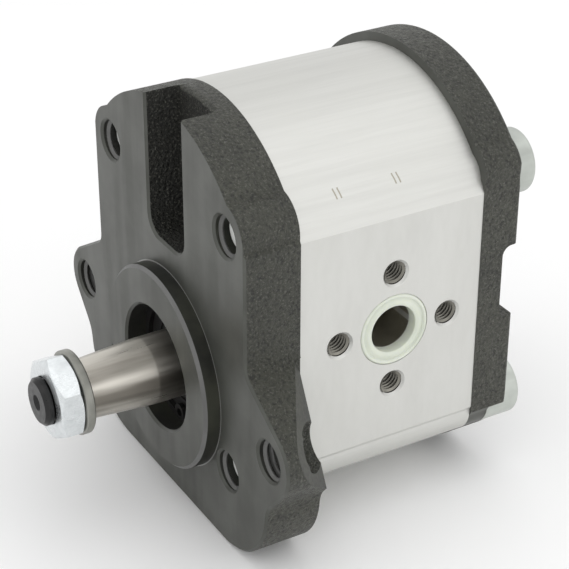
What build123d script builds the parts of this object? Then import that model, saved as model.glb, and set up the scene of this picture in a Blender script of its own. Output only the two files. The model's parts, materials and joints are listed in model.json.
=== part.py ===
from build123d import *
import os
from math import acos, cos, pi, radians, sin, tan

os.makedirs("parts", exist_ok=True)

# External gear pump with a tapered drive shaft. The shafts run along Y, and the shaft end
# points to -Y. +X is the side of the pressure port, +Z is up, and the origin lies on the
# drive shaft's axis in the mounting face of the front flange. All sizes are in millimetres.

# Casing, along Y
flange_thickness = 14.5
body_length = 50.0
cover_thickness = 10.8
pilot_radius = 26.0
pilot_height = 4.2
pilot_chamfer = 0.8

# Gears: equal spur gears, so the centre distance sets the module
teeth = 12
centre_distance = 34.0
pressure_angle = radians(25)
addendum_share = 1.0
dedendum_share = 1.25
backlash = 0.16
gear_width = 18.0
tip_clearance = 0.07
side_clearance = 0.02
flank_points = 5

# Casing, across Y: walls round the gear chamber. Pairs give the upper and the lower value.
side_wall = 17.6
top_wall = 15.3
arch_overhang = 5.0
bolt_inset = 8.5
bolt_offset_z = 14.5
body_shoulders = (6.9, 8.0)
flange_margin = 0.5
flange_shoulders = (8.6, 8.6)
cover_margin = 0.2
cover_crowns = (2.3, 1.0)
cover_shoulders = (9.4, 7.9)
blend_radius = 5.0

# Bearings and end clearances
journal_radius = 9.0
journal_clearance = 0.03
sleeve_wall = 1.25
sleeve_fit = 0.01
block_clearance = 0.03
block_end_gap = 0.1
front_block_length = 16.9
journal_end_gap = 0.5
relief_width = 5.0
relief_height = 4.0
relief_depth = 1.5
relief_offset = 6.0

# Drive shaft end
seal_journal_radius = 8.5
taper_per_length = 8.0
seal_journal_reach = 7.0
taper_length = 17.7
thread_radius = 6.0
thread_length = 10.8
thread_pitch = 1.5
thread_depth = 0.85
thread_crest = 0.15
centre_drill_radius = 2.0
centre_drill_depth = 3.0
shaft_bore_clearance = 0.4

# Key, lock washer and nut on the shaft end
key_width = 3.0
key_radius = 6.5
key_depth = 3.6
key_angle = 213.0
key_from_taper_start = 9.0
key_fit = 0.02
washer_outer_radius = 10.5
washer_thickness = 2.3
washer_bore_clearance = 0.15
washer_split = 1.6
washer_split_angle = 240.0
washer_edge = 0.4
washer_gap = 0.05
nut_across_flats = 19.0
nut_thickness = 6.0
nut_bore_clearance = 0.02
nut_chamfer_angle = 30.0
nut_face_inset = 0.3

# Shaft seal and its retaining ring
seal_bore_radius = 16.0
seal_bore_depth = 9.6
seal_width = 7.0
seal_fit = 0.02
seal_case_wall = 1.1
seal_case_lip_gap = 2.25
lip_clearance = 0.04
lip_heel = 1.6
lip_back = 3.1
lip_crown = 2.6
lip_nose = 1.4
lip_end_gap = 0.5
lip_edge_gap = 1.9
lip_waist = 0.9
lip_throat = 1.1
dust_lip_clearance = 0.15
dust_lip_height = 0.8
dust_lip_run = 0.4
garter_radius = 0.6
ring_groove_depth = 0.85
ring_width = 2.4
ring_thickness = 1.2
ring_groove_clearance = 0.05
ring_gap_angle = 50.0
ring_gap_at = -50.0
ring_lug_radius = 2.3
ring_lug_hole = 1.1
ring_lug_turn = 9.0
ring_lug_inset = 0.2

# Static seals
body_seal_width = 2.0
body_seal_depth = 1.9
body_seal_wall = 2.5
seal_groove_clearance = 0.05
sleeve_land = 1.2
pressure_seal_width = 2.1
backup_width = 0.9
pressure_seal_depth = 2.2

# Fasteners
bolt_radius = 5.0
bolt_thread_clearance = 0.05
bolt_hole_clearance = 0.3
bolt_head_radius = 8.0
bolt_head_height = 10.0
bolt_head_sink = 5.3
bolt_head_clearance = 0.6
bolt_socket_flats = 8.0
bolt_socket_depth = 5.0
bolt_tip_recess = 3.6
bolt_tip_chamfer = 1.0
bolt_head_edge = 1.0
dowel_radius = 2.5
dowel_depth = 5.0
dowel_fit = 0.01
dowel_end_gap = 0.2
dowel_chamfer = 0.4
dowel_offset_x = 10.1
dowel_offset_z = 12.0

# Mounting ears of the flange
ear_hole_x = 48.5
ear_hole_radius = 5.0
ear_radius = 8.8
ear_root_z = 21.7
ear_root_x = 30.0
ear_foot_x = 44.0
ear_foot_z = -19.0
base_half_width = 47.5
base_corner = 21.0
ear_relief_at = (42.6, 10.5, 14.1)
ear_relief_normal = (0.597, 0.744, 0.299)
ear_spotface_radius = 5.9
ear_spotface_y = 8.0
ear_root_fillet = 4.0
ear_foot_fillet = 8.0
hole_chamfer = 0.6

# Slot pocket in the flange's top
slot_width = 18.0
slot_depth = 9.0
slot_gap = 7.0
slot_corner = 5.0
slot_fillet = 1.5

# Ports
port_radius = 6.0
port_ring_radius = 9.3
port_pcd = 30.0
port_thread_radius = 3.0
port_thread_depth = 11.0
suction_radius = 8.0
suction_ring_radius = 12.0
suction_pcd = 35.0
suction_thread_radius = 3.0
suction_thread_depth = 11.0
port_ring_depth = 3.0
port_ring_proud = 0.2
port_ring_clearance = 0.05
port_chamfer = 0.6
port_ring_chamfer = 0.4
port_passage_radius = 5.0
suction_passage_radius = 6.5
port_floor = 0.2

# Cover recess between the bolt pads
recess_depth = 4.3
recess_low_z = 11.0
recess_high_z = 30.8
recess_fillet = 2.6
cast_fillet = 1.2

# Worked-out places
mid_z = centre_distance / 2
module = centre_distance / teeth
pitch_radius = centre_distance / 2
tip_radius = pitch_radius + addendum_share * module
root_radius = pitch_radius - dedendum_share * module
base_radius = pitch_radius * cos(pressure_angle)
chamber_radius = tip_radius + tip_clearance
body_half_width = chamber_radius + side_wall
arch_radius = body_half_width + arch_overhang
arch_rise = pitch_radius + chamber_radius + top_wall
bolt_x = body_half_width - bolt_inset
bolt_z = pitch_radius + bolt_offset_z
body_front = flange_thickness
body_rear = body_front + body_length
cover_rear = body_rear + cover_thickness
gear_front = body_front + block_end_gap + front_block_length
gear_rear = gear_front + gear_width
gear_mid = (gear_front + gear_rear) / 2
block_radius = chamber_radius - block_clearance
sleeve_bore = journal_radius + journal_clearance
sleeve_radius = sleeve_bore + sleeve_wall
pressure_seal_radius = sleeve_radius + sleeve_land + backup_width + seal_groove_clearance
taper_start = -seal_journal_reach
taper_end = taper_start - taper_length
shaft_tip = taper_end - thread_length
taper_small_radius = seal_journal_radius - taper_length / taper_per_length / 2
body_seal_radius = chamber_radius + body_seal_wall
seal_face = seal_bore_depth - seal_width
base_z = mid_z - arch_rise - cover_crowns[1]
slot_floor_z = pilot_radius + slot_gap
nut_flat_radius = nut_across_flats / 2
nut_corner_radius = nut_flat_radius / cos(radians(30))
dowel_x = chamber_radius + dowel_offset_x
bolts_at = [(sx * bolt_x, mid_z + sz * bolt_z) for sx in (-1, 1) for sz in (-1, 1)]
gears_at = [(0, 0), (0, centre_distance)]
dowels_at = [(dowel_x, mid_z - dowel_offset_z), (-dowel_x, mid_z + dowel_offset_z)]


def across(y):
    """The plane square to the shafts at this Y, drawn in X and Z, facing -Y."""
    return Plane.XZ.offset(-y)


def casing_outline(crowns, shoulders, half_width):
    """Two arches, flat sides and a round shoulder about each body bolt."""
    with BuildSketch() as outline:
        centre = arch_rise - arch_radius
        for side, crown, shoulder in zip((1, -1), crowns, shoulders):
            with Locations((0, mid_z + side * centre)):
                Circle(arch_radius + crown)
            with Locations((-bolt_x, mid_z + side * bolt_z), (bolt_x, mid_z + side * bolt_z)):
                Circle(shoulder)
        with Locations((0, mid_z)):
            Rectangle(2 * half_width, 2 * centre)
            Rectangle(2 * half_width, 3 * arch_rise, mode=Mode.INTERSECT)
        notches = [v for v in outline.vertices() if abs(v.X) < bolt_x and abs(v.Y - mid_z) > bolt_z]
        fillet(notches, radius=blend_radius)
    return outline.sketch


def figure_eight(radius):
    """Two discs of one radius on the gear centres."""
    with BuildSketch() as discs:
        with Locations(*gears_at):
            Circle(radius)
    return discs.sketch


def gear_section(first_tooth):
    """One whole gear in section, with a tooth at this angle in degrees."""
    flank_angle = pi / (2 * teeth) - backlash / (4 * pitch_radius) + tan(pressure_angle) - pressure_angle

    def flank(side):
        points = []
        for step in range(flank_points):
            radius = base_radius + (tip_radius - base_radius) * step / (flank_points - 1)
            roll = acos(base_radius / radius)
            angle = flank_angle - (tan(roll) - roll)
            points.append((radius * cos(angle), side * radius * sin(angle)))
        return points

    upper = flank(1)
    lower = flank(-1)
    foot = 0.9 * root_radius
    with BuildSketch() as section:
        Circle(root_radius)
        with PolarLocations(0, teeth, start_angle=first_tooth):
            with BuildSketch(mode=Mode.PRIVATE) as tooth:
                with BuildLine():
                    Line((foot * cos(flank_angle), foot * sin(flank_angle)), upper[0])
                    Spline(*upper)
                    ThreePointArc(upper[-1], (tip_radius, 0), lower[-1])
                    Spline(*reversed(lower))
                    Line(lower[0], (foot * cos(flank_angle), -foot * sin(flank_angle)))
                    Line((foot * cos(flank_angle), -foot * sin(flank_angle)),
                         (foot * cos(flank_angle), foot * sin(flank_angle)))
                make_face()
            add(tooth.sketch)
    return section.sketch


def seal_loop(middle, width):
    """A racetrack ring round both gear centres."""
    with BuildSketch() as loop:
        with Locations((0, mid_z)):
            SlotCenterToCenter(centre_distance, 2 * middle + width, rotation=90)
            SlotCenterToCenter(centre_distance, 2 * middle - width, rotation=90, mode=Mode.SUBTRACT)
    return loop.sketch


def balance_loop(outer, inner, bar):
    """A ring round each journal, joined by a bar of this width."""
    with BuildSketch() as loop:
        with Locations(*gears_at):
            Circle(outer)
        if bar:
            with Locations((0, mid_z)):
                Rectangle(bar, centre_distance)
        with Locations(*gears_at):
            Circle(inner, mode=Mode.SUBTRACT)
    return loop.sketch


# Front flange
flange_outline = casing_outline((flange_margin, flange_margin), flange_shoulders, body_half_width + flange_margin)

# What the ear loses at its upper rear corner, where the casting is cut away for a spanner
with BuildPart() as ear_relief:
    with Locations((ear_hole_x, flange_thickness, 0)):
        Box(2 * (ear_hole_x - body_half_width - flange_margin), 2 * flange_thickness, 4 * ear_radius)
    split(bisect_by=Plane(origin=ear_relief_at, z_dir=ear_relief_normal), keep=Keep.TOP)

with BuildPart() as front_flange:
    with BuildSketch(across(0)):
        with Locations((-ear_hole_x, 0), (ear_hole_x, 0)):
            Circle(ear_radius)
        for side in (-1, 1):
            with BuildLine():
                Line((side * ear_root_x, ear_root_z), (side * ear_foot_x, ear_foot_z))
        make_hull()
        with BuildSketch(mode=Mode.PRIVATE) as base:
            with Locations((0, base_z)):
                Rectangle(2 * base_half_width, -base_z, align=(Align.CENTER, Align.MIN))
            fillet(base.vertices().group_by(Axis.Y)[0], radius=base_corner)
        add(base.sketch)
        add(flange_outline)
    extrude(amount=-flange_thickness)
    roots = front_flange.edges().filter_by(Axis.Y)
    fillet(roots.filter_by(lambda e: body_half_width < abs(e.center().X) < ear_foot_x
                           and 0 < e.center().Z < ear_root_z), radius=ear_root_fillet)
    fillet(front_flange.edges().filter_by(Axis.Y).filter_by(
        lambda e: abs(abs(e.center().X) - base_half_width) < 0.1 and e.center().Z > ear_foot_z),
        radius=ear_foot_fillet)
    add(ear_relief.part, mode=Mode.SUBTRACT)
    add(mirror(ear_relief.part, about=Plane.YZ, mode=Mode.PRIVATE), mode=Mode.SUBTRACT)
    with BuildSketch(across(ear_spotface_y)):
        with Locations((-ear_hole_x, 0), (ear_hole_x, 0)):
            Circle(ear_spotface_radius)
    extrude(amount=-flange_thickness, mode=Mode.SUBTRACT)
    # Pilot, with its rim broken
    with BuildSketch(across(0)):
        Circle(pilot_radius)
    extrude(amount=pilot_height)
    chamfer(front_flange.faces().sort_by(Axis.Y)[0].edges(), length=pilot_chamfer)
    # Seal bore, retaining ring groove and shaft bore
    with BuildSketch(across(-pilot_height)):
        Circle(seal_bore_radius)
    extrude(amount=-(pilot_height + seal_bore_depth), mode=Mode.SUBTRACT)
    with BuildSketch(across(seal_face)):
        Circle(seal_bore_radius + ring_groove_depth)
    extrude(amount=ring_thickness + 2 * ring_groove_clearance, mode=Mode.SUBTRACT)
    with BuildSketch(across(flange_thickness)):
        Circle(journal_radius + shaft_bore_clearance)
    extrude(amount=flange_thickness, mode=Mode.SUBTRACT)
    chamfer(front_flange.edges().filter_by(GeomType.CIRCLE).filter_by(
        lambda e: abs(e.radius - seal_bore_radius) < 0.01 and e.center().Y < -pilot_height + 0.01),
        length=hole_chamfer)
    # Slot pocket, open at the front and the top
    with BuildSketch(across(0)):
        with BuildSketch(mode=Mode.PRIVATE) as slot:
            with Locations((0, slot_floor_z)):
                Rectangle(slot_width, 2 * arch_rise, align=(Align.CENTER, Align.MIN))
            fillet(slot.vertices().group_by(Axis.Y)[0], radius=slot_corner)
        add(slot.sketch)
    extrude(amount=-slot_depth, mode=Mode.SUBTRACT)
    fillet(front_flange.edges().filter_by(lambda e: abs(e.center().Y - slot_depth) < 0.01
                                          and e.center().Z > slot_floor_z - 0.01
                                          and abs(e.center().X) < slot_width), radius=slot_fillet)
    # Tapped holes for the body bolts and for the mounting bolts, and the dowel holes
    with BuildSketch(across(0)):
        with Locations(*bolts_at):
            Circle(bolt_radius)
        with Locations((-ear_hole_x, 0), (ear_hole_x, 0)):
            Circle(ear_hole_radius)
    extrude(amount=-flange_thickness, mode=Mode.SUBTRACT)
    chamfer(front_flange.edges().filter_by(GeomType.CIRCLE).filter_by(
        lambda e: e.radius < bolt_radius + 0.01 and abs(e.center().Y) < 0.01), length=hole_chamfer)
    with BuildSketch(across(flange_thickness)):
        with Locations(*dowels_at):
            Circle(dowel_radius + dowel_fit)
    extrude(amount=dowel_depth, mode=Mode.SUBTRACT)
front_flange.part.label = "front_flange"
export_step(front_flange.part, "parts/front_flange.step")


# Pump body
pressure_face = Plane(origin=(body_half_width, gear_mid, mid_z), x_dir=(0, 1, 0), z_dir=(1, 0, 0))
suction_face = Plane(origin=(-body_half_width, gear_mid, mid_z), x_dir=(0, -1, 0), z_dir=(-1, 0, 0))
bore_depth = side_wall - port_floor
chamber_depth = body_half_width - chamber_radius / 3

with BuildPart() as pump_body:
    with BuildSketch(across(body_front)):
        add(casing_outline((0, 0), body_shoulders, body_half_width))
        add(figure_eight(chamber_radius), mode=Mode.SUBTRACT)
        with Locations(*bolts_at):
            Circle(bolt_radius + bolt_hole_clearance, mode=Mode.SUBTRACT)
    extrude(amount=-body_length)
    groove_width = body_seal_width + 2 * seal_groove_clearance
    with BuildSketch(across(body_front)):
        add(seal_loop(body_seal_radius, groove_width))
    extrude(amount=-(body_seal_depth + seal_groove_clearance), mode=Mode.SUBTRACT)
    with BuildSketch(across(body_rear)):
        add(seal_loop(body_seal_radius, groove_width))
    extrude(amount=body_seal_depth + seal_groove_clearance, mode=Mode.SUBTRACT)
    for end, inward in ((body_front, -1), (body_rear, 1)):
        with BuildSketch(across(end)):
            with Locations(*dowels_at):
                Circle(dowel_radius + dowel_fit)
        extrude(amount=inward * dowel_depth, mode=Mode.SUBTRACT)
    for face, bore, passage, ring, pcd, thread, depth in (
            (pressure_face, port_radius, port_passage_radius, port_ring_radius, port_pcd,
             port_thread_radius, port_thread_depth),
            (suction_face, suction_radius, suction_passage_radius, suction_ring_radius, suction_pcd,
             suction_thread_radius, suction_thread_depth)):
        for radius, reach in ((bore, bore_depth), (passage, chamber_depth)):
            with BuildSketch(face):
                Circle(radius)
            extrude(amount=-reach, mode=Mode.SUBTRACT)
        with BuildSketch(face):
            Circle(ring + port_ring_clearance)
        extrude(amount=-(port_ring_depth - port_ring_proud), mode=Mode.SUBTRACT)
        with BuildSketch(face):
            with PolarLocations(pcd / 2, 4):
                Circle(thread)
        extrude(amount=-depth, mode=Mode.SUBTRACT)
        rims = pump_body.edges().filter_by(GeomType.CIRCLE).filter_by(
            lambda e: abs(e.radius - thread) < 0.01 and abs(e.center().X - face.origin.X) < 0.01)
        chamfer(rims, length=port_chamfer)
pump_body.part.label = "pump_body"
export_step(pump_body.part, "parts/pump_body.step")


# Rear cover
with BuildPart() as rear_cover:
    with BuildSketch(across(body_rear)):
        add(casing_outline(cover_crowns, cover_shoulders, body_half_width + cover_margin))
    extrude(amount=-cover_thickness)
    fillet(rear_cover.faces().sort_by(Axis.Y)[-1].edges(), radius=cast_fillet)
    recess_height = recess_high_z - recess_low_z
    with BuildSketch(across(cover_rear)):
        with Locations((0, recess_low_z + recess_height / 2)):
            Rectangle(3 * body_half_width, recess_height)
    extrude(amount=recess_depth, mode=Mode.SUBTRACT)
    fillet(rear_cover.edges().filter_by(Axis.X).filter_by(
        lambda e: abs(e.center().Y - (cover_rear - recess_depth)) < 0.01), radius=recess_fillet)
    with BuildSketch(across(cover_rear)):
        with Locations(*bolts_at):
            Circle(bolt_head_radius + bolt_head_clearance)
    extrude(amount=bolt_head_sink, mode=Mode.SUBTRACT)
    with BuildSketch(across(body_rear)):
        with Locations(*bolts_at):
            Circle(bolt_radius + bolt_hole_clearance)
    extrude(amount=-cover_thickness, mode=Mode.SUBTRACT)
    with BuildSketch(across(body_rear)):
        with Locations(*dowels_at):
            Circle(dowel_radius + dowel_fit)
    extrude(amount=-dowel_depth, mode=Mode.SUBTRACT)
rear_cover.part.label = "rear_cover"
export_step(rear_cover.part, "parts/rear_cover.step")


# Gear shafts
key_y = taper_start - key_from_taper_start
key_axis = Vector(cos(radians(key_angle)), 0, sin(radians(key_angle)))
key_seat = seal_journal_radius - key_from_taper_start / taper_per_length / 2
key_centre = key_axis * (key_seat - key_depth + key_radius) + Vector(0, key_y, 0)
key_side = key_axis.cross(Vector(0, 1, 0))

with BuildPart() as drive_gear_shaft:
    with BuildSketch(across(gear_front + side_clearance)):
        add(gear_section(90))
    extrude(amount=-(gear_width - 2 * side_clearance))
    # Journals, seal seat and taper in one turned profile, drawn in radius and Y
    with BuildSketch(Plane.XY):
        with BuildLine():
            Polyline(
                (0, shaft_tip),
                (thread_radius - thread_depth, shaft_tip),
                (thread_radius, shaft_tip + thread_depth),
                (thread_radius, taper_end),
                (taper_small_radius, taper_end),
                (seal_journal_radius, taper_start),
                (seal_journal_radius, seal_bore_depth),
                (journal_radius, seal_bore_depth + (journal_radius - seal_journal_radius)),
                (journal_radius, body_rear - journal_end_gap),
                (0, body_rear - journal_end_gap),
                close=True)
        make_face()
    revolve(axis=Axis.Y)
    # Thread drawn as rings of the thread's own section
    with BuildSketch(Plane.XY):
        turns = int((thread_length - 2 * thread_depth) / thread_pitch)
        groove = (thread_pitch - thread_crest) / 2
        with Locations(*[(thread_radius, taper_end - groove - thread_pitch * turn) for turn in range(turns)]):
            Polygon((0, groove), (0, -groove), (-thread_depth, 0), align=None)
    revolve(axis=Axis.Y, mode=Mode.SUBTRACT)
    with BuildSketch(Plane.XY):
        with Locations((0, shaft_tip)):
            Polygon((0, 0), (centre_drill_radius, 0), (0, centre_drill_depth), align=None)
    revolve(axis=Axis.Y, mode=Mode.SUBTRACT)
    # Seat for the half-round key
    with BuildSketch(Plane(origin=key_centre, x_dir=(0, 1, 0), z_dir=key_side)):
        Circle(key_radius + key_fit)
    extrude(amount=key_width / 2 + key_fit, both=True, mode=Mode.SUBTRACT)
drive_gear_shaft.part.label = "drive_gear_shaft"
export_step(drive_gear_shaft.part, "parts/drive_gear_shaft.step")

with BuildPart() as driven_gear_shaft:
    with BuildSketch(across(gear_front + side_clearance)):
        with Locations((0, centre_distance)):
            add(gear_section(270 + 180 / teeth))
    extrude(amount=-(gear_width - 2 * side_clearance))
    with BuildSketch(across(body_front + journal_end_gap)):
        with Locations((0, centre_distance)):
            Circle(journal_radius)
    extrude(amount=-(body_length - 2 * journal_end_gap))
    chamfer(driven_gear_shaft.faces().filter_by(Plane.XZ).sort_by(Axis.Y)[0].edges(), length=pilot_chamfer)
    chamfer(driven_gear_shaft.faces().filter_by(Plane.XZ).sort_by(Axis.Y)[-1].edges(), length=pilot_chamfer)
driven_gear_shaft.part.label = "driven_gear_shaft"
export_step(driven_gear_shaft.part, "parts/driven_gear_shaft.step")


# Bearing blocks, each a figure of eight with two bores and a seal groove on its outer face
def bearing_block(outer_face, gear_face):
    """The block between these two Y values, the first one away from the gears."""
    inward = 1 if gear_face > outer_face else -1
    with BuildPart() as block:
        with BuildSketch(across(outer_face)):
            add(figure_eight(block_radius))
            with Locations(*gears_at):
                Circle(sleeve_radius + sleeve_fit, mode=Mode.SUBTRACT)
        extrude(amount=outer_face - gear_face)
        with BuildSketch(across(outer_face)):
            add(balance_loop(pressure_seal_radius + pressure_seal_width + seal_groove_clearance,
                             pressure_seal_radius - backup_width - seal_groove_clearance,
                             pressure_seal_width + 2 * seal_groove_clearance))
        extrude(amount=-inward * (pressure_seal_depth + seal_groove_clearance), mode=Mode.SUBTRACT)
        # Relief pockets beside the mesh, on the gear side
        with BuildSketch(across(gear_face)):
            with Locations((relief_offset, mid_z), (-relief_offset, mid_z)):
                Rectangle(relief_width, relief_height)
        extrude(amount=inward * relief_depth, mode=Mode.SUBTRACT)
    return block.part


front_bearing_block = bearing_block(body_front + block_end_gap, gear_front)
front_bearing_block.label = "front_bearing_block"
export_step(front_bearing_block, "parts/front_bearing_block.step")

rear_bearing_block = bearing_block(body_rear - block_end_gap, gear_rear)
rear_bearing_block.label = "rear_bearing_block"
export_step(rear_bearing_block, "parts/rear_bearing_block.step")

for name, z, start, end in (
        ("drive_front_sleeve", 0, body_front + block_end_gap, gear_front),
        ("drive_rear_sleeve", 0, gear_rear, body_rear - block_end_gap),
        ("driven_front_sleeve", centre_distance, body_front + block_end_gap, gear_front),
        ("driven_rear_sleeve", centre_distance, gear_rear, body_rear - block_end_gap)):
    with BuildPart() as sleeve:
        with BuildSketch(across(start)):
            with Locations((0, z)):
                Circle(sleeve_radius)
                Circle(sleeve_bore, mode=Mode.SUBTRACT)
        extrude(amount=start - end)
    sleeve.part.label = name
    export_step(sleeve.part, f"parts/{name}.step")


# Static seals
for name, end, inward in (("front_body_seal", body_front, -1), ("rear_body_seal", body_rear, 1)):
    with BuildPart() as body_seal:
        with BuildSketch(across(end)):
            add(seal_loop(body_seal_radius, body_seal_width))
        extrude(amount=inward * body_seal_depth)
    body_seal.part.label = name
    export_step(body_seal.part, f"parts/{name}.step")

for place, end, inward in (("front", body_front + block_end_gap, -1), ("rear", body_rear - block_end_gap, 1)):
    with BuildPart() as pressure_seal:
        with BuildSketch(across(end)):
            add(balance_loop(pressure_seal_radius + pressure_seal_width, pressure_seal_radius,
                             pressure_seal_width))
        extrude(amount=inward * pressure_seal_depth)
    pressure_seal.part.label = f"{place}_pressure_seal"
    export_step(pressure_seal.part, f"parts/{place}_pressure_seal.step")
    with BuildPart() as backup_ring:
        with BuildSketch(across(end)):
            add(balance_loop(pressure_seal_radius - seal_groove_clearance,
                             pressure_seal_radius - backup_width, 0))
        extrude(amount=inward * pressure_seal_depth)
    backup_ring.part.label = f"{place}_backup_ring"
    export_step(backup_ring.part, f"parts/{place}_backup_ring.step")


# Shaft seal, drawn in radius and Y
case_radius = seal_bore_radius - seal_fit
case_bore = seal_journal_radius + seal_case_lip_gap

with BuildPart() as shaft_seal_case:
    with BuildSketch(Plane.XY):
        with BuildLine():
            Polyline(
                (case_bore, seal_face),
                (case_radius, seal_face),
                (case_radius, seal_bore_depth),
                (case_radius - seal_case_wall, seal_bore_depth),
                (case_radius - seal_case_wall, seal_face + seal_case_wall),
                (case_bore, seal_face + seal_case_wall),
                close=True)
        make_face()
    revolve(axis=Axis.Y)
shaft_seal_case.part.label = "shaft_seal_case"
export_step(shaft_seal_case.part, "parts/shaft_seal_case.step")

lip_outer = case_radius - seal_case_wall - seal_fit
lip_root = seal_face + seal_case_wall + seal_fit
with BuildPart() as shaft_seal_lip:
    with BuildSketch(Plane.XY):
        with BuildLine():
            Polyline(
                (lip_outer, lip_root),
                (lip_outer, lip_root + lip_heel),
                (seal_journal_radius + lip_back, lip_root + lip_heel),
                (seal_journal_radius + lip_crown, seal_bore_depth - lip_end_gap),
                (seal_journal_radius + lip_nose, seal_bore_depth - lip_end_gap),
                (seal_journal_radius + lip_clearance, seal_bore_depth - lip_edge_gap),
                (seal_journal_radius + lip_waist, lip_root + lip_heel),
                (seal_journal_radius + lip_throat, lip_root),
                (seal_journal_radius + dust_lip_clearance, seal_face + dust_lip_run),
                (seal_journal_radius + dust_lip_height, seal_face),
                (case_bore - seal_fit, seal_face + dust_lip_run),
                (case_bore - seal_fit, lip_root),
                close=True)
        make_face()
    revolve(axis=Axis.Y)
shaft_seal_lip.part.label = "shaft_seal_lip"
export_step(shaft_seal_lip.part, "parts/shaft_seal_lip.step")

with BuildPart() as garter_spring:
    with BuildSketch(Plane.XY):
        with Locations((seal_journal_radius + lip_back + garter_radius, seal_bore_depth - 2 * garter_radius)):
            Circle(garter_radius)
    revolve(axis=Axis.Y)
garter_spring.part.label = "garter_spring"
export_step(garter_spring.part, "parts/garter_spring.step")

ring_outer = seal_bore_radius + ring_groove_depth - ring_groove_clearance
ring_inner = ring_outer - ring_width
ring_back = seal_face - ring_groove_clearance
with BuildPart() as seal_retaining_ring:
    with BuildSketch(across(ring_back)):
        Circle(ring_outer)
        Circle(ring_inner, mode=Mode.SUBTRACT)
        with Locations(Rotation(0, 0, ring_gap_at)):
            with BuildLine(mode=Mode.PRIVATE) as wedge:
                far = 2 * ring_outer
                half = radians(ring_gap_angle / 2)
                Polyline((0, 0), (far * cos(half), far * sin(half)), (far * cos(half), -far * sin(half)),
                         close=True)
            add(make_face(wedge.edges(), mode=Mode.PRIVATE), mode=Mode.SUBTRACT)
        lug_turn = ring_gap_angle / 2 + ring_lug_turn
        lug_angles = [radians(ring_gap_at + side * lug_turn) for side in (-1, 1)]
        lug_reach = ring_inner - ring_lug_inset
        with Locations(*[(lug_reach * cos(angle), lug_reach * sin(angle)) for angle in lug_angles]):
            Circle(ring_lug_radius)
            Circle(ring_lug_hole, mode=Mode.SUBTRACT)
    extrude(amount=ring_thickness)
seal_retaining_ring.part.label = "seal_retaining_ring"
export_step(seal_retaining_ring.part, "parts/seal_retaining_ring.step")


# Key, lock washer and nut
with BuildPart() as shaft_key:
    with BuildSketch(Plane(origin=key_centre, x_dir=(0, 1, 0), z_dir=key_side)):
        Circle(key_radius)
    extrude(amount=key_width / 2, both=True)
    key_top = key_axis * (key_seat + key_width / 2) + Vector(0, key_y, 0)
    split(bisect_by=Plane(origin=key_top, z_dir=key_axis), keep=Keep.BOTTOM)
shaft_key.part.label = "shaft_key"
export_step(shaft_key.part, "parts/shaft_key.step")

washer_back = taper_end - washer_gap
nut_back = washer_back - washer_thickness - washer_gap
with BuildPart() as lock_washer:
    with BuildSketch(across(washer_back)):
        Circle(washer_outer_radius)
        Circle(thread_radius + washer_bore_clearance, mode=Mode.SUBTRACT)
        with Locations(Location((0, 0), washer_split_angle)):
            Rectangle(2 * washer_outer_radius, washer_split, align=(Align.MIN, Align.CENTER),
                      mode=Mode.SUBTRACT)
    extrude(amount=washer_thickness)
    fillet(lock_washer.edges().filter_by(GeomType.CIRCLE).filter_by(
        lambda e: abs(e.radius - washer_outer_radius) < 0.01), radius=washer_edge)
lock_washer.part.label = "lock_washer"
export_step(lock_washer.part, "parts/lock_washer.step")

with BuildPart() as shaft_nut:
    with BuildSketch(across(nut_back)):
        RegularPolygon(nut_flat_radius, 6, major_radius=False, rotation=30)
    extrude(amount=nut_thickness)
    # Both faces are coned down to a circle just inside the flats
    face_radius = nut_flat_radius - nut_face_inset
    cone = (nut_corner_radius - face_radius) * tan(radians(nut_chamfer_angle))
    with BuildSketch(Plane.XY):
        with BuildLine():
            Polyline(
                (0, nut_back),
                (face_radius, nut_back),
                (nut_corner_radius, nut_back - cone),
                (nut_corner_radius, nut_back - nut_thickness + cone),
                (face_radius, nut_back - nut_thickness),
                (0, nut_back - nut_thickness),
                close=True)
        make_face()
    revolve(axis=Axis.Y, mode=Mode.INTERSECT)
    with BuildSketch(across(nut_back)):
        Circle(thread_radius + nut_bore_clearance)
    extrude(amount=nut_thickness, mode=Mode.SUBTRACT)
shaft_nut.part.label = "shaft_nut"
export_step(shaft_nut.part, "parts/shaft_nut.step")


# Body bolts, socket head screws from the cover into the flange
head_seat = cover_rear - bolt_head_sink
with BuildPart() as body_bolts:
    with BuildSketch(across(bolt_tip_recess)):
        with Locations(*bolts_at):
            Circle(bolt_radius - bolt_thread_clearance)
    extrude(amount=-(head_seat - bolt_tip_recess))
    chamfer(body_bolts.faces().filter_by(Plane.XZ).group_by(Axis.Y)[0].edges(), length=bolt_tip_chamfer)
    with BuildSketch(across(head_seat)):
        with Locations(*bolts_at):
            Circle(bolt_head_radius)
    extrude(amount=-bolt_head_height)
    fillet(body_bolts.faces().filter_by(Plane.XZ).group_by(Axis.Y)[-1].edges(), radius=bolt_head_edge)
    with BuildSketch(across(head_seat + bolt_head_height)):
        with Locations(*bolts_at):
            RegularPolygon(bolt_socket_flats / 2, 6, major_radius=False)
    extrude(amount=bolt_socket_depth, mode=Mode.SUBTRACT)
body_bolts.part.label = "body_bolts"
export_step(body_bolts.part, "parts/body_bolts.step")

for name, joint_y in (("front_dowel_pins", body_front), ("rear_dowel_pins", body_rear)):
    dowel_reach = dowel_depth - dowel_end_gap
    with BuildPart() as dowels:
        with BuildSketch(across(joint_y - dowel_reach)):
            with Locations(*dowels_at):
                Circle(dowel_radius)
        extrude(amount=-2 * dowel_reach)
        chamfer(dowels.edges().filter_by(GeomType.CIRCLE), length=dowel_chamfer)
    dowels.part.label = name
    export_step(dowels.part, f"parts/{name}.step")


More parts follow.
